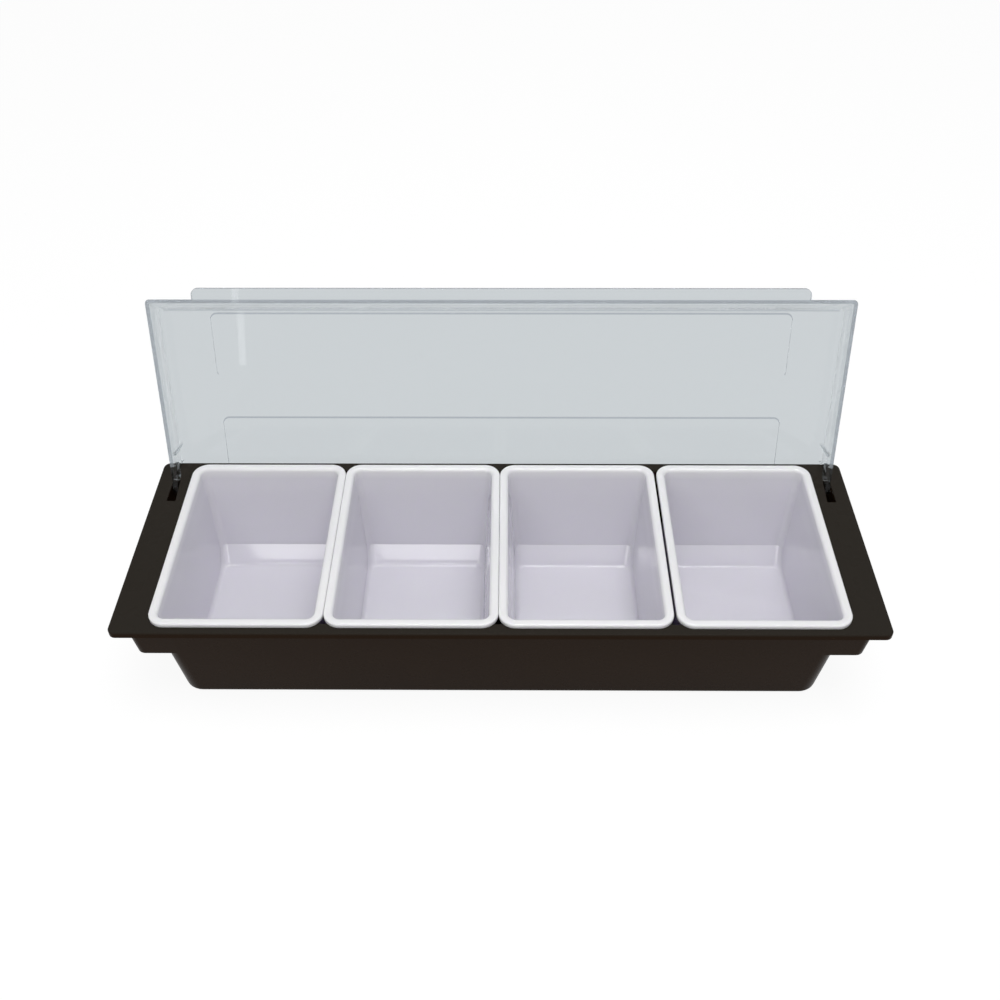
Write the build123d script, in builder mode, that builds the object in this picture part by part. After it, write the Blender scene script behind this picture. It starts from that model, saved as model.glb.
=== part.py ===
from build123d import *
import os
from math import cos, hypot, radians, sin, tan

os.makedirs("parts", exist_ok=True)

# All lengths are millimetres.
# The origin is the middle of the face the tray rests on, with X along its length.
# The user stands at the negative Y side, and the lid is modelled open.

# Overrun of every cut past the face it leaves
overrun = 2.0

# Insert pans: rolled rim, stacking shoulder, and sloping ends with a flatter facet at their foot
insert_names = ("insert_far_left", "insert_mid_left", "insert_mid_right", "insert_far_right")
insert_rim_band = 6.0
insert_rim_height = 3.2
insert_rim_drop = 1.5
insert_rim_edge = 1.8
insert_rim_radius = 11.0
insert_rim_round = 1.4
insert_wall = 1.8
insert_floor = 1.9
insert_top_side_draft = 3.0
insert_top_end_draft = 10.0
insert_side_draft = 3.4
insert_end_draft = 8.8
insert_shoulder_depth = 13.0
insert_shoulder_step = 1.2
insert_shoulder_height = 5.0
insert_facet_height = 13.0
insert_facet_draft = 38.7
insert_top_corner = 5.0
insert_floor_corner = 6.0
insert_floor_round = 3.5

# Flange left bare at the ends and the sides of the row, and gaps from left to right
insert_end_margin = 24.0
insert_side_margin = 5.0
insert_gaps = (0.5, 0.5, 2.0)

# Space for ice between the floor of the tub and the inserts
ice_height = 7.5

# Base tray: a deep tub with a flat flange round its mouth
base_length = 495.0
base_width = 163.0
base_height = 88.0
base_wall = 2.4
base_floor = 2.6
base_corner = 5.0
tub_clearance = 0.9
tub_end_draft = 1.8
tub_side_draft = 9.8
tub_top_corner = 7.4
tub_floor_corner = 10.0
tub_floor_round = 4.0
tub_foot_round = 4.6
flange_thickness = 2.6
flange_edge_round = 1.0
flange_lip_height = 4.4
flange_lip_wall = 2.2

# Hollow end boxes under the two end flanges, open underneath
end_box_reach = 7.2
end_box_depth = 35.0
end_box_corner = 6.0

# Hinge: a round peg on each ear of the lid turns in a hole of the end box
hinge_from_rear = 23.9
hinge_drop = 3.5
peg_diameter = 4.0
peg_clearance = 0.06
peg_chamfer = 0.5
peg_recess = 0.3
ear_radius = 3.4
ear_length = 16.5
ear_root = 9.0
ear_thickness = 3.4
ear_side_clearance = 1.6
slot_outer_gap = 1.0
slot_rear_gap = 2.2
slot_front_gap = 1.0
slot_narrow_gap = 0.7
slot_wide_gap = 2.0

# Clear lid: a shallow cover with two end plates and a sloping front
lid_end_margin = 9.5
lid_open_angle = 105.7
lid_wall = 2.2
lid_end_wall = 2.6
lid_front_inset = 0.1
lid_seat_gap = 0.3
lid_swing_gap = 0.7
lid_end_draft = 3.4
lid_front_slope = 28.8
lid_edge_round = 3.0
lid_inner_round = 1.0

# Finger lip along the front edge of the lid
lip_end_margin = 31.5
lip_reach = 7.4
lip_thickness = 2.6
lip_corner = 4.5

# Two shallow panels pressed into the lid
panel_end_margin = 36.0
panel_front_margin = 3.4
panel_rear_margin = 20.5
panel_gap = 29.8
panel_recess = 0.6
panel_corner = 5.0

# Stiffening rib inside each end plate
rib_from_hinge = 24.5
rib_thickness = 1.4
rib_height = 2.6


def inset(size, drop, draft_x, draft_y, step=0):
    """Size of a tapered section a given drop below a known one."""
    narrowed = size[0] - 2 * (drop * tan(radians(draft_x)) + step)
    return (narrowed, size[1] - 2 * (drop * tan(radians(draft_y)) + step))


def taper(low_z, low_size, low_corner, high_z, high_size, high_corner, mode=Mode.ADD):
    """Loft between two level rounded rectangles centred on the current part."""
    with BuildSketch(Plane.XY.offset(low_z)) as low:
        RectangleRounded(low_size[0], low_size[1], low_corner)
    with BuildSketch(Plane.XY.offset(high_z)) as high:
        RectangleRounded(high_size[0], high_size[1], high_corner)
    loft([low.sketch, high.sketch], mode=mode)


# Outer size of an insert, from the flange that it hangs on and the depth of the tub
inserts_span = base_length - 2 * insert_end_margin
insert_length = (inserts_span - sum(insert_gaps)) / len(insert_names)
insert_width = base_width - 2 * insert_side_margin
insert_depth = base_height - base_floor - ice_height - insert_floor

# Sizes of an insert at its levels, each as length and width
insert_outline = (insert_length, insert_width)
insert_mouth = inset(insert_outline, 0, 0, 0, insert_rim_band)
upper_drop = insert_rim_height + insert_shoulder_depth
above_shoulder = inset(insert_mouth, upper_drop, insert_top_side_draft, insert_top_end_draft)
below_shoulder = inset(above_shoulder, 0, 0, 0, insert_shoulder_step)
shoulder_bottom = insert_shoulder_depth + insert_shoulder_height
lower_drop = insert_depth - shoulder_bottom - insert_facet_height
facet_size = inset(below_shoulder, lower_drop, insert_side_draft, insert_end_draft)
insert_floor_size = inset(facet_size, insert_facet_height, insert_side_draft, insert_facet_draft)
body_mouth = inset(
    insert_mouth, insert_rim_height, insert_top_side_draft, insert_top_end_draft, -insert_wall
)

# Heights of an insert above the resting face
seat_z = base_height
rim_top_z = seat_z + insert_rim_height
shoulder_top_z = seat_z - insert_shoulder_depth
shoulder_low_z = seat_z - shoulder_bottom
insert_floor_z = seat_z - insert_depth
facet_top_z = insert_floor_z + insert_facet_height


def insert_levels(growth, floor_z):
    """Levels of the insert's wall from the floor up, grown outwards by a wall."""
    floor_corner = insert_floor_corner + growth
    top_corner = insert_top_corner + growth
    return (
        (floor_z, inset(insert_floor_size, 0, 0, 0, -growth), floor_corner),
        (facet_top_z, inset(facet_size, 0, 0, 0, -growth), top_corner),
        (shoulder_low_z, inset(below_shoulder, 0, 0, 0, -growth), top_corner),
        (shoulder_top_z, inset(above_shoulder, 0, 0, 0, -growth), top_corner),
        (rim_top_z, inset(insert_mouth, 0, 0, 0, -growth), top_corner),
    )


def stack(levels, mode=Mode.ADD):
    """Lofts one above another through a list of levels."""
    for low, high in zip(levels, levels[1:]):
        taper(low[0], low[1], low[2], high[0], high[1], high[2], mode)


# One insert pan, made at the middle of the tray
with BuildPart() as insert_pan:
    # Outside of the body up to the top of the rim
    stack(insert_levels(insert_wall, insert_floor_z - insert_floor))
    foot_edges = insert_pan.faces().sort_by(Axis.Z)[0].edges()
    fillet(foot_edges, insert_floor_round)
    # Rolled rim that hangs on the flange
    with BuildSketch(Plane.XY.offset(seat_z)):
        RectangleRounded(insert_length, insert_width, insert_rim_radius)
    extrude(amount=insert_rim_height)
    rim_edges = insert_pan.faces().sort_by(Axis.Z)[-1].outer_wire().edges()
    fillet(rim_edges, insert_rim_round)
    # Groove under the rim between its turned down edge and the body
    groove_size = inset(insert_outline, 0, 0, 0, insert_rim_edge)
    with BuildSketch(Plane.XY.offset(seat_z)):
        RectangleRounded(groove_size[0], groove_size[1], insert_rim_radius - insert_rim_edge)
        RectangleRounded(
            body_mouth[0], body_mouth[1], insert_top_corner + insert_wall, mode=Mode.SUBTRACT
        )
    extrude(amount=insert_rim_drop, mode=Mode.SUBTRACT)

# Hollow of an insert
with BuildPart() as insert_hollow:
    stack(insert_levels(0, insert_floor_z))
    fillet(insert_hollow.faces().sort_by(Axis.Z)[0].edges(), insert_floor_round)
    with BuildSketch(Plane.XY.offset(rim_top_z)):
        RectangleRounded(insert_mouth[0], insert_mouth[1], insert_top_corner)
    extrude(amount=overrun)

# Middle of each insert along the tray
insert_centres = [
    -inserts_span / 2 + (index + 1 / 2) * insert_length + sum(insert_gaps[:index])
    for index in range(len(insert_names))
]

# The four inserts, each a piece of its own
for name, centre in zip(insert_names, insert_centres):
    with BuildPart() as insert:
        with Locations((centre, 0, 0)):
            add(insert_pan.part)
            add(insert_hollow.part, mode=Mode.SUBTRACT)
        mouth_edges = insert.faces().filter_by(Axis.Z).sort_by(Axis.Z)[-1].inner_wires()[0].edges()
        fillet(mouth_edges, insert_rim_round)
    insert.part.label = name
    export_step(insert.part, f"parts/{name}.step")

# Mouth of the tub, which clears the bodies of the inserts
rim_overhang = (insert_length - body_mouth[0]) / 2
tub_mouth_length = inserts_span - 2 * (rim_overhang - tub_clearance)
tub_mouth = (tub_mouth_length, body_mouth[1] + 2 * tub_clearance)
tub_rim = inset(tub_mouth, 0, 0, 0, -base_wall)
flange_under_z = base_height - flange_thickness

# Outer size of the end boxes at the level of the flange
box_mouth = (base_length - 2 * end_box_reach, tub_rim[1])
box_foot_z = base_height - end_box_depth
box_under = inset(box_mouth, flange_thickness, tub_end_draft, tub_side_draft)
box_foot = inset(box_mouth, end_box_depth, tub_end_draft, tub_side_draft)

# Hinge axis, and the faces of the end box that carry it
hinge_y = base_width / 2 - hinge_from_rear
hinge_z = base_height - hinge_drop
ear_depth = hinge_drop + ear_radius
box_side_x = inset(box_mouth, ear_depth, tub_end_draft, 0)[0] / 2
ear_outer_x = box_side_x - base_wall - ear_side_clearance
ear_inner_x = ear_outer_x - ear_thickness
peg_end_x = box_side_x - peg_recess

with BuildPart() as base_tray:
    # Hollow end boxes, a shallow skirt open underneath
    taper(box_foot_z, box_foot, end_box_corner, flange_under_z, box_under, end_box_corner)
    box_hollow_under = inset(box_under, 0, 0, 0, base_wall)
    box_hollow_foot = inset(box_foot, overrun, tub_end_draft, tub_side_draft, base_wall)
    hollow_corner = end_box_corner - base_wall
    taper(
        box_foot_z - overrun, box_hollow_foot, hollow_corner,
        flange_under_z, box_hollow_under, hollow_corner, Mode.SUBTRACT,
    )
    # Outside of the tub, from the resting face to the flange
    tub_foot = inset(tub_rim, base_height, tub_end_draft, tub_side_draft)
    taper(
        0, tub_foot, tub_floor_corner + base_wall,
        base_height, tub_rim, tub_top_corner + base_wall,
    )
    # Flat flange and the small lip turned down round its edge
    with BuildSketch(Plane.XY.offset(flange_under_z)):
        RectangleRounded(base_length, base_width, base_corner)
    extrude(amount=flange_thickness)
    with BuildSketch(Plane.XY.offset(base_height - flange_lip_height)):
        RectangleRounded(base_length, base_width, base_corner)
        lip_inside = inset((base_length, base_width), 0, 0, 0, flange_lip_wall)
        lip_corner_radius = base_corner - flange_lip_wall
        RectangleRounded(lip_inside[0], lip_inside[1], lip_corner_radius, mode=Mode.SUBTRACT)
    extrude(amount=flange_lip_height - flange_thickness)
    fillet(base_tray.faces().sort_by(Axis.Z)[-1].outer_wire().edges(), flange_edge_round)
    fillet(base_tray.faces().sort_by(Axis.Z)[0].edges(), tub_foot_round)

# Inside of the tub, which holds ice under the inserts
with BuildPart() as tub_hollow:
    tub_floor_size = inset(tub_mouth, base_height - base_floor, tub_end_draft, tub_side_draft)
    taper(base_floor, tub_floor_size, tub_floor_corner, base_height, tub_mouth, tub_top_corner)
    fillet(tub_hollow.faces().sort_by(Axis.Z)[0].edges(), tub_floor_round)
    with BuildSketch(Plane.XY.offset(base_height)):
        RectangleRounded(tub_mouth[0], tub_mouth[1], tub_top_corner)
    extrude(amount=overrun)

# Hinge slots and peg holes at the two ends
with BuildPart(mode=Mode.PRIVATE) as hinge_cuts:
    slot_rear_y = hinge_y + ear_radius + slot_rear_gap
    slot_front_y = hinge_y - ear_length - slot_front_gap
    slot_outer_x = ear_outer_x + slot_outer_gap
    slot_inner_front_x = ear_inner_x - slot_wide_gap
    slot_inner_rear_x = ear_inner_x - slot_narrow_gap
    for side in (-1, 1):
        # Wedge slot through the flange, wide at its front
        with BuildSketch(Plane.XY.offset(flange_under_z)):
            with BuildLine():
                Polyline(
                    (side * slot_inner_front_x, slot_front_y),
                    (side * slot_outer_x, slot_front_y),
                    (side * slot_outer_x, slot_rear_y),
                    (side * slot_inner_rear_x, slot_rear_y),
                    close=True,
                )
            make_face()
        extrude(amount=flange_thickness + overrun)
        # Round hole that the peg turns in
        with BuildSketch(Plane.YZ.offset(side * ear_outer_x)):
            with Locations((hinge_y, hinge_z)):
                Circle(peg_diameter / 2 + peg_clearance)
        extrude(amount=side * (box_side_x - ear_outer_x + overrun))

with BuildPart() as base:
    add(base_tray.part)
    add(tub_hollow.part, mode=Mode.SUBTRACT)
    add(hinge_cuts.part, mode=Mode.SUBTRACT)
base.part.label = "base_tray"
export_step(base.part, "parts/base_tray.step")

# Frame of the lid: its origin is on the hinge axis, its Z points out of the cover,
# and its minus Y runs from the hinge to the front edge
lid_turn = radians(lid_open_angle)
lid_frame = Plane(
    origin=(0, hinge_y, hinge_z), x_dir=(1, 0, 0), z_dir=(0, sin(lid_turn), cos(lid_turn))
)
profile_plane = Plane(lid_frame.origin, x_dir=lid_frame.y_dir, z_dir=lid_frame.x_dir)
front_plane = Plane(lid_frame.origin, x_dir=lid_frame.x_dir, z_dir=-lid_frame.y_dir)

# Lengths of the cover, its finger lip and its panels along the hinge
lid_length = base_length - 2 * lid_end_margin
lip_length = lid_length - 2 * lip_end_margin
panel_length = lid_length - 2 * panel_end_margin

# Levels of the cover measured from the hinge axis
rim_level = hinge_drop + lid_seat_gap
inner_level = hypot(hinge_from_rear, hinge_drop) + lid_swing_gap
outer_level = inner_level + lid_wall
front_reach = base_width - hinge_from_rear - lid_front_inset
front_top = front_reach - (outer_level - rim_level) * tan(radians(lid_front_slope))
rear_reach = hinge_from_rear
panels_span = front_top + rear_reach - panel_front_margin - panel_rear_margin
panel_width = (panels_span - panel_gap) / 2
panel_spacing = panel_width + panel_gap


def stop_reach(level):
    """Distance of the end plate's rear edge from the hinge, flat on the flange when open."""
    return (hinge_drop - level * cos(lid_turn)) / sin(lid_turn)


def lid_block(half_length, front_gap, low_level, high_level, rear):
    """Tapered block of the cover between two levels, in the lid's own frame."""
    slope = tan(radians(lid_front_slope))
    low_front = front_reach - front_gap - (low_level - rim_level) * slope
    high_front = front_reach - front_gap - (high_level - rim_level) * slope
    with BuildSketch(profile_plane) as profile:
        with BuildLine():
            Polyline(
                (-low_front, low_level), (-high_front, high_level),
                (rear, high_level), (rear, low_level), close=True,
            )
        make_face()
    extrude(profile.sketch, amount=half_length + overrun, both=True)
    draft = tan(radians(lid_end_draft))
    low_half = half_length - (low_level - rim_level) * draft
    high_half = half_length - (high_level - rim_level) * draft
    with BuildSketch(front_plane) as front:
        with BuildLine():
            Polyline(
                (-low_half, low_level), (-high_half, high_level),
                (high_half, high_level), (low_half, low_level), close=True,
            )
        make_face()
    extrude(front.sketch, amount=front_reach + rear_reach, both=True, mode=Mode.INTERSECT)


def cover_edges(block):
    """Edges of a cover block that are rounded: round its top, but the rear, and its front corners."""
    outwards = Axis(lid_frame.origin, lid_frame.z_dir)
    forwards = Axis(lid_frame.origin, -lid_frame.y_dir)
    top_edges = block.faces().sort_by(outwards)[-1].edges().sort_by(forwards)[1:]
    front_edges = block.faces().sort_by(forwards)[-1].edges().sort_by(Axis.X)
    return top_edges + ShapeList([front_edges[0], front_edges[-1]])


# Hollow of the cover, open at the rim and at the rear
front_wall_gap = lid_wall / cos(radians(lid_front_slope))
with BuildPart() as lid_hollow:
    lid_block(
        lid_length / 2 - lid_end_wall, front_wall_gap,
        rim_level - overrun, inner_level, rear_reach + overrun,
    )
    fillet(cover_edges(lid_hollow), lid_inner_round)

# Space behind the end plates, cut away so that they rest on the flange
with BuildPart() as lid_rear_gap:
    with BuildSketch(profile_plane):
        with BuildLine():
            Polyline(
                (-stop_reach(rim_level - overrun), rim_level - overrun),
                (-stop_reach(inner_level), inner_level),
                (rear_reach + overrun, inner_level),
                (rear_reach + overrun, rim_level - overrun),
                close=True,
            )
        make_face()
    extrude(amount=lid_length, both=True)

with BuildPart() as lid:
    # Outside of the cover with its rounded edges
    lid_block(lid_length / 2, 0, rim_level, outer_level, rear_reach)
    fillet(cover_edges(lid), lid_edge_round)
    add(lid_hollow.part, mode=Mode.SUBTRACT)
    add(lid_rear_gap.part, mode=Mode.SUBTRACT)
    # Finger lip in the plane of the rim
    lip_root = front_reach - lid_wall
    lip_middle = (lip_root + front_reach + lip_reach) / 2
    with BuildSketch(lid_frame.offset(rim_level)):
        with Locations((0, -lip_middle)):
            Rectangle(lip_length, front_reach + lip_reach - lip_root)
    extrude(amount=lip_thickness)
    lip_ends = lid.edges().filter_by(Axis(lid_frame.origin, lid_frame.z_dir))
    fillet(lip_ends.sort_by(Axis(lid_frame.origin, -lid_frame.y_dir))[-2:], lip_corner)
    # Shallow panels in the top of the cover
    panel_first = front_top - panel_front_margin - panel_width / 2
    with BuildSketch(lid_frame.offset(outer_level)):
        with Locations((0, -panel_first), (0, -panel_first + panel_spacing)):
            RectangleRounded(panel_length, panel_width, panel_corner)
    extrude(amount=-panel_recess, mode=Mode.SUBTRACT)
    for side in (-1, 1):
        # Rib inside the end plate
        rib_outer_x = lid_length / 2 - lid_end_wall
        rib_inner_x = rib_outer_x - rib_height
        with BuildSketch(lid_frame.offset(rim_level)):
            with Locations((side * (rib_outer_x + rib_inner_x) / 2, -rib_from_hinge)):
                Rectangle(rib_height, rib_thickness)
        extrude(amount=inner_level - rim_level)
        # Ear that reaches down through the slot to the hinge axis
        with BuildSketch(profile_plane.offset(side * ear_inner_x)):
            Circle(ear_radius)
            with BuildLine():
                Polyline(
                    (0, -ear_radius),
                    (-ear_length, rim_level),
                    (-ear_length, ear_root),
                    (-stop_reach(ear_root), ear_root),
                    (-stop_reach(rim_level), rim_level),
                    (0, ear_radius),
                    close=True,
                )
            make_face()
        extrude(amount=side * ear_thickness)
        # Peg on the outer side of the ear
        with BuildSketch(profile_plane.offset(side * ear_inner_x)):
            Circle(peg_diameter / 2)
        extrude(amount=side * (peg_end_x - ear_inner_x))
    peg_rims = lid.edges().filter_by(GeomType.CIRCLE).sort_by(Axis.X)
    chamfer((peg_rims[0], peg_rims[-1]), peg_chamfer)
lid.part.label = "clear_lid"
export_step(lid.part, "parts/clear_lid.step")

print("tub mouth", tub_mouth, "tub foot", tub_foot, "insert floor", insert_floor_size)
print("hinge", hinge_y, hinge_z, "ear", ear_inner_x, ear_outer_x, "box side", box_side_x)
print("levels", rim_level, inner_level, outer_level, "front", front_reach, front_top)
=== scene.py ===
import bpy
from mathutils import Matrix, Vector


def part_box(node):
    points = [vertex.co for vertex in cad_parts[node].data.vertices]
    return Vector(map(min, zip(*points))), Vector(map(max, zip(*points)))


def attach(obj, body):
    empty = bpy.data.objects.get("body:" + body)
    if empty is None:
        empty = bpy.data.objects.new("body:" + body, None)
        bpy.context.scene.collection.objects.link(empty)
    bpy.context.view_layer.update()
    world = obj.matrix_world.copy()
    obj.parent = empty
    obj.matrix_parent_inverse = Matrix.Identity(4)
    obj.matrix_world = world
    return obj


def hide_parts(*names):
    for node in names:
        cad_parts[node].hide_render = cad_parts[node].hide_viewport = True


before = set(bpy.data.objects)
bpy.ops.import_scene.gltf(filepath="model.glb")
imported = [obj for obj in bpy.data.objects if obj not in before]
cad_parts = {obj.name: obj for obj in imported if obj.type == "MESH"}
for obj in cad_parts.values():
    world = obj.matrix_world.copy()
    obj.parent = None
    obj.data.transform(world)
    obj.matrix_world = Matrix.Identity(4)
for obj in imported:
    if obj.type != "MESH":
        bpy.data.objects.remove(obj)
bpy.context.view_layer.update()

from math import cos, pi, radians, sin, tan

import bmesh
import bpy
from mathutils import Matrix, Quaternion, Vector

bpy.ops.object.select_all(action="DESELECT")
mm = 0.001

# The base tray is one dark brown injection moulding: a deep tub with sloping walls, a flat
# flange with its edge turned down, and a hollow box under each end of the flange.
# Each end has a slot for an ear of the lid and a round hole for its peg.
base_low, base_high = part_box("base_tray")
flange_size = (base_high.x - base_low.x, base_high.y - base_low.y)
flange_z = base_high.z
flange_corner = 5.0 * mm
flange_thickness = 2.6 * mm
edge_height = 4.4 * mm
edge_wall = 2.2 * mm
edge_roll = 1.0 * mm
tub_wall = 2.4 * mm
tub_mouth = (440.06 * mm, 145.27 * mm)
tub_mouth_corner = 7.4 * mm
tub_mouth_roll = 0.8 * mm
tub_floor_z = 2.6 * mm
tub_floor_corner = 10.0 * mm
tub_floor_round = 4.0 * mm
tub_foot_round = 4.6 * mm
tub_drafts = (1.8, 9.8)
box_reach = 7.2 * mm
box_depth = 35.0 * mm
box_corner = 6.0 * mm
box_sink = 0.1 * mm
cut_over = 2.0 * mm
same_place = 0.01 * mm
weld_distance = 0.001 * mm


def narrowed(size, drop, drafts, step=0):
    """Size of a drafted outline some way below a known one."""
    return [side - 2 * (drop * tan(radians(d)) + step) for side, d in zip(size, drafts)]


def foot_levels(z, size, corner, drafts, radius, steps=7):
    """Levels of a rounded foot, from its flat up into the drafted walls."""
    levels = []
    for step in range(steps + 1):
        turn = pi / 2 * step / steps
        height = radius * (1 - cos(turn))
        insets = []
        for draft in (radians(d) for d in drafts):
            if height < radius * (1 - sin(draft)):
                insets.append(radius * (tan((pi / 2 - draft) / 2) - sin(turn)))
            else:
                insets.append(-height * tan(draft))
        here = [side - 2 * inset for side, inset in zip(size, insets)]
        levels.append((z + height, here, corner - max(sum(insets) / 2, 0)))
    return levels


def edge_levels(z, size, corner, radius, inward, steps=4):
    """Levels of a rounded top edge: up over the outside of a rim, or down into a mouth."""
    levels = []
    for step in range(steps + 1):
        turn = pi / 2 * step / steps
        if inward:
            reach, height = radius * (1 - sin(turn)), radius * (cos(turn) - 1)
        else:
            reach, height = radius * (cos(turn) - 1), radius * (sin(turn) - 1)
        levels.append((z + height, [side + 2 * reach for side in size], corner + reach))
    return levels


def arc_centre(centre, level, side_x, side_y):
    """Centre of a corner's arc in a rounded outline."""
    z, size, corner = level
    across = side_x * (size[0] / 2 - corner)
    return Vector((centre[0] + across, centre[1] + side_y * (size[1] / 2 - corner), z))


def moulding(name, centre, levels, arc_steps=8):
    """A closed solid drawn from one rounded outline to the next."""
    z, size, corner = levels[0]
    bpy.ops.mesh.primitive_plane_add(size=1, location=(centre[0], centre[1], z))
    piece = bpy.context.object
    piece.name = name
    piece.data.name = name
    piece.scale = (size[0], size[1], 1)
    bpy.ops.object.transform_apply(location=True, rotation=True, scale=True)
    bpy.ops.object.mode_set(mode="EDIT")
    bpy.ops.mesh.select_mode(type="VERT")
    bpy.ops.mesh.select_all(action="SELECT")
    bpy.ops.mesh.bevel(offset=corner, segments=arc_steps, affect="VERTICES")
    bpy.ops.mesh.select_all(action="SELECT")
    for old, new in zip(levels, levels[1:]):
        bpy.ops.mesh.extrude_region_move()
        mesh = bmesh.from_edit_mesh(piece.data)
        outline = [v for v in mesh.verts if v.select]
        for side_x, side_y in ((-1, -1), (-1, 1), (1, -1), (1, 1)):
            for v in outline:
                inside_x = (v.co.x - centre[0]) * side_x > 0
                v.select_set(inside_x and (v.co.y - centre[1]) * side_y > 0)
            was = arc_centre(centre, old, side_x, side_y)
            goes = arc_centre(centre, new, side_x, side_y)
            grow = new[2] / old[2]
            bpy.ops.transform.resize(value=(grow, grow, 1), center_override=was)
            bpy.ops.transform.translate(value=goes - was)
        for v in outline:
            v.select_set(True)
        mesh.select_flush_mode()
        bmesh.update_edit_mesh(piece.data)
    face_outwards(piece)
    return piece


def face_outwards(piece):
    """Turns all faces of a closed mesh outwards and leaves edit mode."""
    bpy.ops.mesh.select_all(action="SELECT")
    bpy.ops.mesh.remove_doubles(threshold=weld_distance)
    bpy.ops.mesh.normals_make_consistent(inside=False)
    bpy.ops.object.mode_set(mode="OBJECT")
    piece.select_set(False)


def combine(piece, tool, operation):
    """Joins another solid to the piece, or cuts it away."""
    bpy.ops.object.select_all(action="DESELECT")
    bpy.context.view_layer.objects.active = piece
    change = piece.modifiers.new("combine", "BOOLEAN")
    change.operation = operation
    change.object = tool
    change.solver = "EXACT"
    bpy.ops.object.modifier_apply(modifier=change.name)
    bpy.data.objects.remove(tool)


def polygon_bar(name, corners, run):
    """A straight bar whose section is a polygon, extruded along the run."""
    bpy.ops.mesh.primitive_circle_add(vertices=len(corners), radius=1, fill_type="NGON")
    bar = bpy.context.object
    bar.name = name
    bpy.ops.object.mode_set(mode="EDIT")
    bpy.ops.mesh.select_mode(type="VERT")
    mesh = bmesh.from_edit_mesh(bar.data)
    outline = list(mesh.faces)[0].verts[:]
    for chosen, corner in zip(outline, corners):
        for v in outline:
            v.select_set(v == chosen)
        bpy.ops.transform.translate(value=Vector(corner) - chosen.co)
    bpy.ops.mesh.select_all(action="SELECT")
    bpy.ops.mesh.extrude_region_move(TRANSFORM_OT_translate={"value": run})
    face_outwards(bar)
    return bar


def pick_edges(piece, test):
    """Selects the edges of the piece in edit mode for which the test holds."""
    bpy.ops.mesh.select_mode(type="EDGE")
    bpy.ops.mesh.select_all(action="DESELECT")
    mesh = bmesh.from_edit_mesh(piece.data)
    for edge in mesh.edges:
        edge.select_set(bool(test(edge)))
    bmesh.update_edit_mesh(piece.data)


def round_bar(name, start, length, radius, chamfer=0, sides=40):
    """A round bar along X from its start, with a small chamfer at its far end."""
    middle = (start[0] + length / 2, start[1], start[2])
    bpy.ops.mesh.primitive_cylinder_add(
        vertices=sides, radius=radius, depth=abs(length), location=middle, rotation=(0, pi / 2, 0)
    )
    bar = bpy.context.object
    bar.name = name
    bpy.ops.object.transform_apply(location=True, rotation=True, scale=True)
    if chamfer:
        bpy.ops.object.mode_set(mode="EDIT")
        far_x = start[0] + length
        pick_edges(bar, lambda e: all(abs(v.co.x - far_x) < same_place for v in e.verts))
        bpy.ops.mesh.bevel(offset=chamfer, segments=3, affect="EDGES")
        bpy.ops.object.mode_set(mode="OBJECT")
    bar.select_set(False)
    return bar


full_weight = 100


def smooth(piece, angle=35):
    """Shades the curved faces smooth and keeps the flat ones flat."""
    bpy.ops.object.select_all(action="DESELECT")
    piece.select_set(True)
    bpy.context.view_layer.objects.active = piece
    bpy.ops.object.shade_smooth_by_angle(angle=radians(angle))
    settle = piece.modifiers.new("settle", "WEIGHTED_NORMAL")
    settle.keep_sharp = True
    settle.weight = full_weight
    bpy.ops.object.modifier_apply(modifier=settle.name)
    piece.select_set(False)


def colour_mix(nodes, links, share, first, second):
    """Output that goes from the first colour to the second as the share goes from 0 to 1."""
    mix = nodes.new("ShaderNodeMix")
    mix.data_type = "RGBA"
    links.new(share, mix.inputs[0])
    first_socket, second_socket = [socket for socket in mix.inputs if socket.type == "RGBA"]
    if isinstance(first, tuple):
        first_socket.default_value = (*first, 1)
    else:
        links.new(first, first_socket)
    second_socket.default_value = (*second, 1)
    return [socket for socket in mix.outputs if socket.type == "RGBA"][0]


cloud_scale = 14.0
cloud_detail = 3.0
grain_detail = 4.0
relief_strength = 0.5


def moulded_plastic(name, colour, gloss_range, cloud_depth, grain, grain_height):
    """A moulded plastic, with faint clouds in its colour and fine unevenness in its gloss."""
    material = bpy.data.materials.new(name)
    material.use_nodes = True
    nodes = material.node_tree.nodes
    links = material.node_tree.links
    shader = nodes["Principled BSDF"]
    place = nodes.new("ShaderNodeTexCoord")
    cloud = nodes.new("ShaderNodeTexNoise")
    cloud.inputs["Scale"].default_value = cloud_scale
    cloud.inputs["Detail"].default_value = cloud_detail
    links.new(place.outputs["Object"], cloud.inputs["Vector"])
    darker = tuple(channel * (1 - cloud_depth) for channel in colour)
    lighter = tuple(channel * (1 + cloud_depth) for channel in colour)
    clouded = colour_mix(nodes, links, cloud.outputs["Fac"], darker, lighter)
    links.new(clouded, shader.inputs["Base Color"])
    fine = nodes.new("ShaderNodeTexNoise")
    fine.inputs["Scale"].default_value = 1 / grain
    fine.inputs["Detail"].default_value = grain_detail
    links.new(place.outputs["Object"], fine.inputs["Vector"])
    gloss = nodes.new("ShaderNodeMapRange")
    gloss.inputs["To Min"].default_value = gloss_range[0]
    gloss.inputs["To Max"].default_value = gloss_range[1]
    links.new(fine.outputs["Fac"], gloss.inputs["Value"])
    links.new(gloss.outputs["Result"], shader.inputs["Roughness"])
    relief = nodes.new("ShaderNodeBump")
    relief.inputs["Distance"].default_value = grain_height
    relief.inputs["Strength"].default_value = relief_strength
    links.new(fine.outputs["Fac"], relief.inputs["Height"])
    links.new(relief.outputs["Normal"], shader.inputs["Normal"])
    return material, shader


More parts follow.
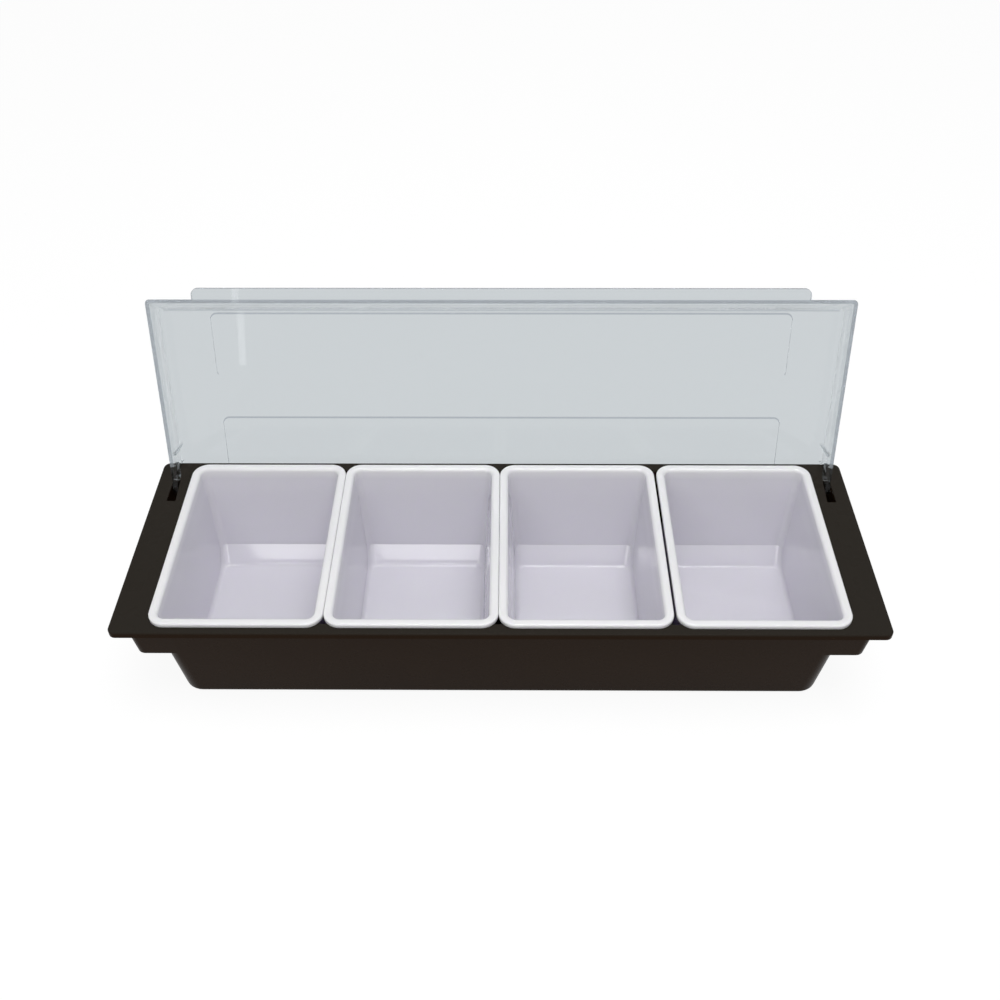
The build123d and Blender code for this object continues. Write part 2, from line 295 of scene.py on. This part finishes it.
# Tub and flange, drawn up from the foot
flange_under = flange_z - flange_thickness
tub_outer = narrowed(tub_mouth, 0, (0, 0), -tub_wall)
edge_inside = narrowed(flange_size, 0, (0, 0), edge_wall)
middle = (0, 0)
tub_levels = foot_levels(
    0, narrowed(tub_outer, flange_z, tub_drafts), tub_floor_corner + tub_wall,
    tub_drafts, tub_foot_round,
)
tub_levels += [
    (flange_under, narrowed(tub_outer, flange_thickness, tub_drafts), tub_mouth_corner + tub_wall),
    (flange_under, edge_inside, flange_corner - edge_wall),
    (flange_z - edge_height, edge_inside, flange_corner - edge_wall),
    (flange_z - edge_height, flange_size, flange_corner),
]
tub_levels += edge_levels(flange_z, flange_size, flange_corner, edge_roll, False)
tray = moulding("tray", middle, tub_levels)

# Hollow end boxes, one shallow skirt that meets the tub's front and rear walls
box_top = (flange_size[0] - 2 * box_reach, tub_outer[1] - 2 * box_sink)
box_foot_z = flange_z - box_depth
box_under = narrowed(box_top, flange_thickness, tub_drafts)
box_foot = narrowed(box_top, box_depth, tub_drafts)
skirt = moulding("skirt", middle, [
    (flange_under + flange_thickness / 2, box_under, box_corner),
    (flange_under, box_under, box_corner),
    (box_foot_z, box_foot, box_corner),
    (box_foot_z, narrowed(box_foot, 0, (0, 0), tub_wall), box_corner - tub_wall),
    (flange_under, narrowed(box_under, 0, (0, 0), tub_wall), box_corner - tub_wall),
])
combine(tray, skirt, "UNION")

# Inside of the tub
hollow_levels = foot_levels(
    tub_floor_z, narrowed(tub_mouth, flange_z - tub_floor_z, tub_drafts), tub_floor_corner,
    tub_drafts, tub_floor_round,
)
mouth_roll = edge_levels(flange_z, tub_mouth, tub_mouth_corner, tub_mouth_roll, True)
hollow_levels += mouth_roll[::-1]
hollow_levels.append((flange_z + cut_over, mouth_roll[0][1], mouth_roll[0][2]))
combine(tray, moulding("tub_hollow", middle, hollow_levels), "DIFFERENCE")

# Wedge slots in the flange, and the holes that the lid's pegs turn in
slot_front_y = 40.1 * mm
slot_rear_y = 63.2 * mm
slot_outer_x = 237.08 * mm
slot_inner_x = (230.68 * mm, 231.98 * mm)
hinge_y = 57.6 * mm
hinge_z = 84.5 * mm
hole_radius = 2.06 * mm
for side in (-1, 1):
    slot_low = flange_under - tub_mouth_roll
    slot_cut = polygon_bar("slot_cut", [
        (side * slot_inner_x[0], slot_front_y, slot_low),
        (side * slot_outer_x, slot_front_y, slot_low),
        (side * slot_outer_x, slot_rear_y, slot_low),
        (side * slot_inner_x[1], slot_rear_y, slot_low),
    ], (0, 0, flange_thickness + cut_over))
    combine(tray, slot_cut, "DIFFERENCE")
    hole_start = (side * (slot_outer_x - cut_over), hinge_y, hinge_z)
    hole_cut = round_bar("hole_cut", hole_start, side * (box_reach + cut_over), hole_radius)
    combine(tray, hole_cut, "DIFFERENCE")
smooth(tray)

tray_brown = (0.0180, 0.0092, 0.0042)
tray_gloss = (0.24, 0.32)
tray_clouds = 0.10
tray_grain = 12 * mm
tray_grain_height = 0.03 * mm
tray_shine = 0.02
tray_plastic, tray_shader = moulded_plastic(
    "tray_plastic", tray_brown, tray_gloss, tray_clouds, tray_grain, tray_grain_height
)
tray_shader.inputs["Specular IOR Level"].default_value = tray_shine


def colour_top(material, shader, low_z, high_z, top_colour):
    """Turns the plastic's colour into another one from a low height to a high one."""
    nodes, links = material.node_tree.nodes, material.node_tree.links
    place = nodes.new("ShaderNodeTexCoord")
    height = nodes.new("ShaderNodeSeparateXYZ")
    links.new(place.outputs["Object"], height.inputs["Vector"])
    near_top = nodes.new("ShaderNodeMapRange")
    near_top.inputs["From Min"].default_value = low_z
    near_top.inputs["From Max"].default_value = high_z
    links.new(height.outputs["Z"], near_top.inputs["Value"])
    below = shader.inputs["Base Color"].links[0].from_socket
    whole = colour_mix(nodes, links, near_top.outputs["Result"], below, top_colour)
    links.new(whole, shader.inputs["Base Color"])


# The upper face of the flange is painted a little lighter and greyer than the walls: a painted
# sheen, for the light that the glossy flange reflects from above
sheen_depth = 1.5 * mm
painted_sheen_colour = (0.0240, 0.0205, 0.0165)
colour_top(tray_plastic, tray_shader, flange_z - sheen_depth, flange_z, painted_sheen_colour)
tray.data.materials.append(tray_plastic)
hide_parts("base_tray")
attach(tray, "base")

# The four insert pans are thin white moulded pans, glossy and slightly translucent.
# Each hangs on the flange by a rolled rim, with a stacking shoulder under it, and its front
# and rear walls slope, with a flat facet at the foot. One is modelled and then copied.
rim_low, rim_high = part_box("insert_far_left")
rim_swell = 0.2 * mm
rim_size = (rim_high.x - rim_low.x + 2 * rim_swell, rim_high.y - rim_low.y)
rim_z = rim_high.z
rim_corner = 11.0 * mm
rim_band = 6.0 * mm
rim_edge = 1.8 * mm
rim_web = 1.7 * mm
rim_roll = 1.3 * mm
mouth_round = 2.6 * mm
pan_wall = 1.8 * mm
pan_bottom = 1.9 * mm
pan_mouth_corner = 5.0 * mm
pan_floor_corner = 6.0 * mm
pan_floor_round = 3.5 * mm
facet_height = 13.0 * mm
shoulder_z = flange_z - 13.0 * mm
shoulder_height = 5.0 * mm
shoulder_step = 1.2 * mm
upper_drafts = (3.0, 10.0)
lower_drafts = (3.4, 8.8)
facet_drafts = (3.4, 38.7)
facet_edge_angle = 25

pan_mouth = narrowed(rim_size, 0, (0, 0), rim_band)
above_shoulder = narrowed(pan_mouth, rim_z - shoulder_z, upper_drafts)
below_shoulder = narrowed(above_shoulder, 0, (0, 0), shoulder_step)
pan_floor_z = rim_low.z + pan_bottom
facet_z = pan_floor_z + facet_height
pan_facet = narrowed(below_shoulder, shoulder_z - shoulder_height - facet_z, lower_drafts)
pan_floor = narrowed(pan_facet, facet_height, facet_drafts)


def pan_levels(grow, floor_z):
    """Levels of the pan's wall from its floor to the top of the shoulder, grown by a wall."""
    levels = foot_levels(
        floor_z, narrowed(pan_floor, 0, (0, 0), -grow), pan_floor_corner + grow,
        facet_drafts, pan_floor_round,
    )
    walls = (
        (facet_z, pan_facet),
        (shoulder_z - shoulder_height, below_shoulder),
        (shoulder_z, above_shoulder),
    )
    for z, size in walls:
        levels.append((z, narrowed(size, 0, (0, 0), -grow), pan_mouth_corner + grow))
    return levels


rim_inside = narrowed(rim_size, 0, (0, 0), rim_edge)
under_web = rim_z - rim_web
pan_centre = ((rim_low.x + rim_high.x) / 2, (rim_low.y + rim_high.y) / 2)
pan_rings = pan_levels(pan_wall, rim_low.z)
wall_under_web = narrowed(pan_mouth, rim_web, upper_drafts, -pan_wall)
pan_rings += [
    (under_web, wall_under_web, pan_mouth_corner + pan_wall),
    (under_web, rim_inside, rim_corner - rim_edge),
    (flange_z, rim_inside, rim_corner - rim_edge),
    (flange_z, rim_size, rim_corner),
]
pan_rings += edge_levels(rim_z, rim_size, rim_corner, rim_roll, False)
pan_rings += edge_levels(rim_z, pan_mouth, pan_mouth_corner, mouth_round, True)
pan_rings += pan_levels(0, pan_floor_z)[::-1]
pan_arc_steps = 10
pan_pattern = moulding("pan_far_left", pan_centre, pan_rings, pan_arc_steps)
smooth(pan_pattern, facet_edge_angle)

pan_white = (0.70, 0.685, 0.748)
pan_gloss = (0.03, 0.07)
pan_clouds = 0.015
pan_grain = 14 * mm
pan_grain_height = 0.02 * mm
light_spread = (1.0, 0.9, 1.1)
light_depth = 4 * mm
light_share = 0.5
plastic_index = 1.49
insert_plastic, insert_shader = moulded_plastic(
    "insert_plastic", pan_white, pan_gloss, pan_clouds, pan_grain, pan_grain_height
)
insert_shader.inputs["Subsurface Weight"].default_value = light_share
insert_shader.inputs["Subsurface Radius"].default_value = light_spread
insert_shader.inputs["Subsurface Scale"].default_value = light_depth
insert_shader.inputs["IOR"].default_value = plastic_index

# The rim and the top of the walls are painted lighter than the walls below: painted light, for the
# rim that catches more light than the shaded inside of the pan
rim_light_low_z = rim_z - 8.0 * mm
painted_rim_light = (0.84, 0.83, 0.865)
colour_top(insert_plastic, insert_shader, rim_light_low_z, rim_z - mm, painted_rim_light)
pan_pattern.data.materials.append(insert_plastic)

for body in ("far_left", "mid_left", "mid_right", "far_right"):
    node = f"insert_{body}"
    pan = pan_pattern
    if body != "far_left":
        pan = bpy.data.objects.new(f"pan_{body}", pan_pattern.data.copy())
        bpy.context.scene.collection.objects.link(pan)
        pan.data.transform(Matrix.Translation(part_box(node)[0] - rim_low))
    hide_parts(node)
    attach(pan, body)

# The lid is one clear moulding, faintly green through its thickness: a shallow cover with
# two end plates, a sloping front with a finger lip, two pressed panels, and at each rear
# corner an ear with the peg that it turns on. It is modelled closed, about its hinge.
open_angle = 105.7
lid_half = 238.0 * mm
lid_wall = 2.2 * mm
lid_end_wall = 2.6 * mm
lid_end_draft = 3.4
lid_front_slope = 28.8
lid_round = 3.0 * mm
lid_inner_round = 1.0 * mm
lid_round_steps = 6
lid_rim_z = 3.8 * mm
lid_inner_z = 24.855 * mm
lid_outer_z = lid_inner_z + lid_wall
lid_front = 139.0 * mm
lid_rear = 23.9 * mm
hinge_drop = 3.5 * mm


def stop_y(z):
    """Rear edge of an end plate at a height above the hinge, flat on the flange when open."""
    turn = radians(open_angle)
    return -(hinge_drop - z * cos(turn)) / sin(turn)


def cover_block(name, half, front, low_z, high_z, rear, rounding):
    """A closed block with the slopes of the cover and its upper and front edges rounded."""
    slope, draft = tan(radians(lid_front_slope)), tan(radians(lid_end_draft))
    bpy.ops.mesh.primitive_cube_add(size=1)
    block = bpy.context.object
    block.name = name
    bpy.ops.object.mode_set(mode="EDIT")
    bpy.ops.mesh.select_mode(type="VERT")
    corner_verts = list(bmesh.from_edit_mesh(block.data).verts)
    for chosen in corner_verts:
        z = high_z if chosen.co.z > 0 else low_z
        rise = z - lid_rim_z
        across = half - rise * draft
        goes = Vector((
            across if chosen.co.x > 0 else -across,
            rear if chosen.co.y > 0 else rise * slope - front,
            z,
        ))
        for v in corner_verts:
            v.select_set(v == chosen)
        bpy.ops.transform.translate(value=goes - chosen.co)

    def rounded(edge):
        heights = [v.co.z for v in edge.verts]
        at_rear = [v.co.y > rear - mm for v in edge.verts]
        on_top = min(heights) > high_z - same_place
        upright = max(heights) - min(heights) > mm
        return (on_top and not all(at_rear)) or (upright and not any(at_rear))

    pick_edges(block, rounded)
    bpy.ops.mesh.bevel(offset=rounding, segments=lid_round_steps, affect="EDGES", profile=0.5)
    face_outwards(block)
    return block


cover = cover_block("cover", lid_half, lid_front, lid_rim_z, lid_outer_z, lid_rear, lid_round)
inner_front = lid_front - lid_wall / cos(radians(lid_front_slope))
cover_hollow = cover_block(
    "cover_hollow", lid_half - lid_end_wall, inner_front,
    lid_rim_z - cut_over, lid_inner_z, lid_rear + cut_over, lid_inner_round,
)
combine(cover, cover_hollow, "DIFFERENCE")
rear_cut = polygon_bar("rear_cut", [
    (-lid_half - cut_over, stop_y(lid_rim_z - cut_over), lid_rim_z - cut_over),
    (-lid_half - cut_over, stop_y(lid_inner_z), lid_inner_z),
    (-lid_half - cut_over, lid_rear + cut_over, lid_inner_z),
    (-lid_half - cut_over, lid_rear + cut_over, lid_rim_z - cut_over),
], (2 * (lid_half + cut_over), 0, 0))
combine(cover, rear_cut, "DIFFERENCE")

# Finger lip
lip_half = 206.5 * mm
lip_reach = 7.4 * mm
lip_thickness = 2.6 * mm
lip_corner = 4.5 * mm
lip_depth = lip_reach + lid_wall
lip_centre = (0, -(lid_front + lip_reach) + lip_depth)
lip_size = (2 * lip_half, 2 * lip_depth)
lip_roll = 0.6 * mm
lip_levels = [(lid_rim_z, lip_size, lip_corner)]
lip_levels += edge_levels(lid_rim_z + lip_thickness, lip_size, lip_corner, lip_roll, False)
finger_lip = moulding("finger_lip", lip_centre, lip_levels)
bpy.context.view_layer.objects.active = finger_lip
bpy.ops.object.mode_set(mode="EDIT")
bpy.ops.mesh.select_all(action="SELECT")
bpy.ops.mesh.bisect(
    plane_co=(0, -(lid_front - lid_wall / 2), 0), plane_no=(0, 1, 0),
    use_fill=True, clear_outer=True,
)
face_outwards(finger_lip)
combine(cover, finger_lip, "UNION")

# Two shallow panels pressed into the cover
panel_size = (404.0 * mm, 48.2 * mm)
panel_corner = 5.0 * mm
panel_recess = 0.6 * mm
panel_slopes = (0.5 * mm, 1.2 * mm)
panel_front_margin = 3.4 * mm
panel_spacing = 78.0 * mm
panel_y = -(lid_front - (lid_outer_z - lid_rim_z) * tan(radians(lid_front_slope)))
panel_y += panel_front_margin + panel_size[1] / 2
panel_floor = [side - 2 * slope for side, slope in zip(panel_size, panel_slopes)]
for shift in (0, panel_spacing):
    panel_cut = moulding("panel_cut", (0, panel_y + shift), [
        (lid_outer_z - panel_recess, panel_floor, panel_corner - panel_recess),
        (lid_outer_z, panel_size, panel_corner),
        (lid_outer_z + cut_over, panel_size, panel_corner),
    ])
    combine(cover, panel_cut, "DIFFERENCE")

# Ribs, ears and pegs
rib_y = -24.5 * mm
rib_thickness = 1.4 * mm
rib_height = 2.6 * mm
ear_x = (232.68 * mm, 236.08 * mm)
ear_radius = 3.4 * mm
ear_front = -16.5 * mm
ear_root = 9.0 * mm
peg_radius = 2.0 * mm
peg_end = 239.78 * mm
peg_chamfer = 0.5 * mm
for side in (-1, 1):
    rib_x = side * (lid_half - lid_end_wall - rib_height)
    rib = polygon_bar("rib", [
        (rib_x, rib_y - rib_thickness / 2, lid_rim_z + rib_thickness / 2),
        (rib_x, rib_y + rib_thickness / 2, lid_rim_z + rib_thickness / 2),
        (rib_x, rib_y + rib_thickness / 2, lid_inner_z + lid_wall / 4),
        (rib_x, rib_y - rib_thickness / 2, lid_inner_z + lid_wall / 4),
    ], (side * (rib_height + lid_end_wall / 4), 0, 0))
    combine(cover, rib, "UNION")
    ear = polygon_bar("ear", [
        (side * ear_x[0], 0, -ear_radius),
        (side * ear_x[0], ear_front, lid_rim_z),
        (side * ear_x[0], ear_front, ear_root),
        (side * ear_x[0], stop_y(ear_root), ear_root),
        (side * ear_x[0], stop_y(lid_rim_z), lid_rim_z),
        (side * ear_x[0], 0, ear_radius),
    ], (side * (ear_x[1] - ear_x[0]), 0, 0))
    ear_start = (side * ear_x[0], 0, 0)
    ear_end = round_bar("ear_end", ear_start, side * (ear_x[1] - ear_x[0]), ear_radius)
    combine(ear, ear_end, "UNION")
    peg_start = (side * (ear_x[0] + ear_x[1]) / 2, 0, 0)
    peg = round_bar("peg", peg_start, side * peg_end - peg_start[0], peg_radius, peg_chamfer)
    combine(ear, peg, "UNION")
    combine(cover, ear, "UNION")
smooth(cover)


rim_slack = 0.1 * mm
level_normal = 0.99
facing_down = -0.9
rear_facing = -0.3
upright_normal = 0.5


def takes_painted_edge_shade(face):
    """True for the rims, the end of the lip and the slopes of the panels, seen edge on, which take
    the painted dark edge tint.
    """
    x, y, z = face.center
    if y < -lid_front:
        return abs(face.normal.z) < upright_normal
    on_rim = face.normal.z < facing_down and abs(z - lid_rim_z) < rim_slack
    in_panel = abs(x) < panel_size[0] / 2 and lid_outer_z - panel_recess < z < lid_outer_z
    on_slope = in_panel and face.normal.z < level_normal and face.normal.y > rear_facing
    return on_rim or on_slope


# Faces seen edge on take the second material, with its painted dark edge tint
for face in cover.data.polygons:
    face.material_index = int(takes_painted_edge_shade(face))
opened = Matrix.Rotation(-radians(open_angle), 4, "X")
cover.data.transform(Matrix.Translation((0, hinge_y, hinge_z)) @ opened)

clear_roughness = 0.02


def clear_moulding(name, see_through, tint, straight_share):
    """A clear plastic: part of the light goes straight on, and the rest is bent as by glass."""
    material = bpy.data.materials.new(name)
    material.use_nodes = True
    nodes, links = material.node_tree.nodes, material.node_tree.links
    glass = nodes["Principled BSDF"]
    glass.inputs["Base Color"].default_value = (*tint, 1)
    glass.inputs["Transmission Weight"].default_value = 1.0
    glass.inputs["Roughness"].default_value = clear_roughness
    glass.inputs["IOR"].default_value = plastic_index
    straight = nodes.new("ShaderNodeBsdfTransparent")
    straight.inputs["Color"].default_value = (*see_through, 1)
    share = nodes.new("ShaderNodeMath")
    share.operation = "MAXIMUM"
    share.inputs[1].default_value = straight_share
    path = nodes.new("ShaderNodeLightPath")
    links.new(path.outputs["Is Shadow Ray"], share.inputs[0])
    mix = nodes.new("ShaderNodeMixShader")
    links.new(share.outputs["Value"], mix.inputs["Fac"])
    links.new(glass.outputs["BSDF"], mix.inputs[1])
    links.new(straight.outputs["BSDF"], mix.inputs[2])
    links.new(mix.outputs["Shader"], nodes["Material Output"].inputs["Surface"])
    return material


# Faces seen edge on get a darker look: partly the real dimming of light that comes a long way
# through the plastic, and partly painted shade for the dark lines that the bent light draws along
# the edges.
# Each look has the colour of light that goes straight on, a tint, and the share that goes on.
clear_looks = (
    ("clear_plastic", (0.768, 0.791, 0.804), (0.590, 0.625, 0.646), 0.62),
    ("clear_plastic_painted_edge_shade", (0.53, 0.56, 0.59), (0.28, 0.31, 0.35), 0.5),
)
for clear_look in clear_looks:
    cover.data.materials.append(clear_moulding(*clear_look))
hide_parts("clear_lid")
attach(cover, "lid")

# The floor is a plain matt white sheet. It shows white to the eye like the room behind it,
# and keeps a soft shadow of the tray.
floor_side = 6
floor_white = 0.9
floor_roughness = 0.9
floor_shine = 0.1
floor_glow = 1.05
floor_seen = 0.86
bpy.ops.mesh.primitive_plane_add(size=floor_side, location=(0, 0, 0))
floor = bpy.context.object
floor.name = "floor"
floor_paint = bpy.data.materials.new("floor_paint")
floor_paint.use_nodes = True
floor_nodes = floor_paint.node_tree.nodes
floor_links = floor_paint.node_tree.links
floor_shader = floor_nodes["Principled BSDF"]
floor_shader.inputs["Base Color"].default_value = (floor_white, floor_white, floor_white, 1)
floor_shader.inputs["Roughness"].default_value = floor_roughness
floor_shader.inputs["Specular IOR Level"].default_value = floor_shine


def seen_share(tree_nodes, tree_links, share):
    """Output that is the share for rays that show the background, and 0 for light."""
    path = tree_nodes.new("ShaderNodeLightPath")
    shown = path.outputs["Is Camera Ray"]
    for name in ("Is Glossy Ray", "Is Transmission Ray"):
        either = tree_nodes.new("ShaderNodeMath")
        either.operation = "MAXIMUM"
        tree_links.new(shown, either.inputs[0])
        tree_links.new(path.outputs[name], either.inputs[1])
        shown = either.outputs["Value"]
    part = tree_nodes.new("ShaderNodeMath")
    part.operation = "MULTIPLY"
    part.inputs[1].default_value = share
    tree_links.new(shown, part.inputs[0])
    return part.outputs["Value"]


white = floor_nodes.new("ShaderNodeEmission")
white.inputs["Strength"].default_value = floor_glow
floor_mix = floor_nodes.new("ShaderNodeMixShader")
floor_links.new(seen_share(floor_nodes, floor_links, floor_seen), floor_mix.inputs["Fac"])
floor_links.new(floor_shader.outputs["BSDF"], floor_mix.inputs[1])
floor_links.new(white.outputs["Emission"], floor_mix.inputs[2])
floor_links.new(floor_mix.outputs["Shader"], floor_nodes["Material Output"].inputs["Surface"])
floor.data.materials.append(floor_paint)

# The room is plain white to the eye, and lights the tray evenly. One lamp hangs overhead,
# and two in front give the shine on the pans' facets and on the lid.
room_light = 0.45
world = bpy.data.worlds.new("studio")
bpy.context.scene.world = world
world.use_nodes = True
sky_nodes = world.node_tree.nodes
sky_links = world.node_tree.links
sky = sky_nodes["Background"]
sky.inputs["Color"].default_value = (1, 1, 1, 1)
sky.inputs["Strength"].default_value = room_light
sky_seen = sky_nodes.new("ShaderNodeBackground")
sky_seen.inputs["Color"].default_value = (1, 1, 1, 1)
sky_seen.inputs["Strength"].default_value = 1.0
sky_mix = sky_nodes.new("ShaderNodeMixShader")
sky_links.new(seen_share(sky_nodes, sky_links, 1), sky_mix.inputs["Fac"])
sky_links.new(sky.outputs["Background"], sky_mix.inputs[1])
sky_links.new(sky_seen.outputs["Background"], sky_mix.inputs[2])
sky_links.new(sky_mix.outputs["Shader"], sky_nodes["World Output"].inputs["Surface"])


def soft_box(name, place, aim, size, power):
    """A studio lamp of a given width and height, aimed at a point and seen only as a shine."""
    lamp = bpy.data.lights.new(name, "AREA")
    lamp.shape = "RECTANGLE"
    lamp.size, lamp.size_y = size
    lamp.energy = power
    holder = bpy.data.objects.new(name, lamp)
    holder.visible_camera = False
    holder.visible_transmission = False
    bpy.context.scene.collection.objects.link(holder)
    holder.location = place
    holder.rotation_mode = "QUATERNION"
    holder.rotation_quaternion = (Vector(aim) - Vector(place)).to_track_quat("-Z", "Y")


# Place, aim, width and height in metres, and power in watts
soft_boxes = (
    ("overhead_box", (0.1, -0.25, 1.45), (0, 0, 0.05), (0.8, 0.8), 11),
    ("front_box", (-0.26, -1.04, 0.69), (-0.1, 0, 0.05), (0.45, 0.3), 1.7),
    ("strip_box", (-0.596, -1.6, 0.16), (-0.18, 0.1, 0.19), (0.015, 0.28), 0.05),
)
for box in soft_boxes:
    soft_box(*box)

# The camera stands where the photograph's did, worked out from the corners of the flange.
eye = Vector((4.8 * mm, -522.1 * mm, flange_z + 528.1 * mm))
look_down = radians(43.12)
look_left = radians(0.54)
lean = radians(0.25)
picture_px = 1000
focal_px = 1090
film_width = 36
nearest_seen = 0.01
camera = bpy.data.cameras.new("camera")
camera.sensor_width = film_width
camera.lens = camera.sensor_width * focal_px / picture_px
camera.clip_start = nearest_seen
camera_stand = bpy.data.objects.new("camera", camera)
bpy.context.scene.collection.objects.link(camera_stand)
level_reach = cos(look_down)
sight = Vector((-sin(look_left) * level_reach, cos(look_left) * level_reach, -sin(look_down)))
camera_stand.location = eye
camera_stand.rotation_mode = "QUATERNION"
camera_stand.rotation_quaternion = sight.to_track_quat("-Z", "Y") @ Quaternion((0, 0, 1), -lean)
bpy.context.scene.camera = camera_stand
bpy.context.scene.view_settings.view_transform = "Standard"
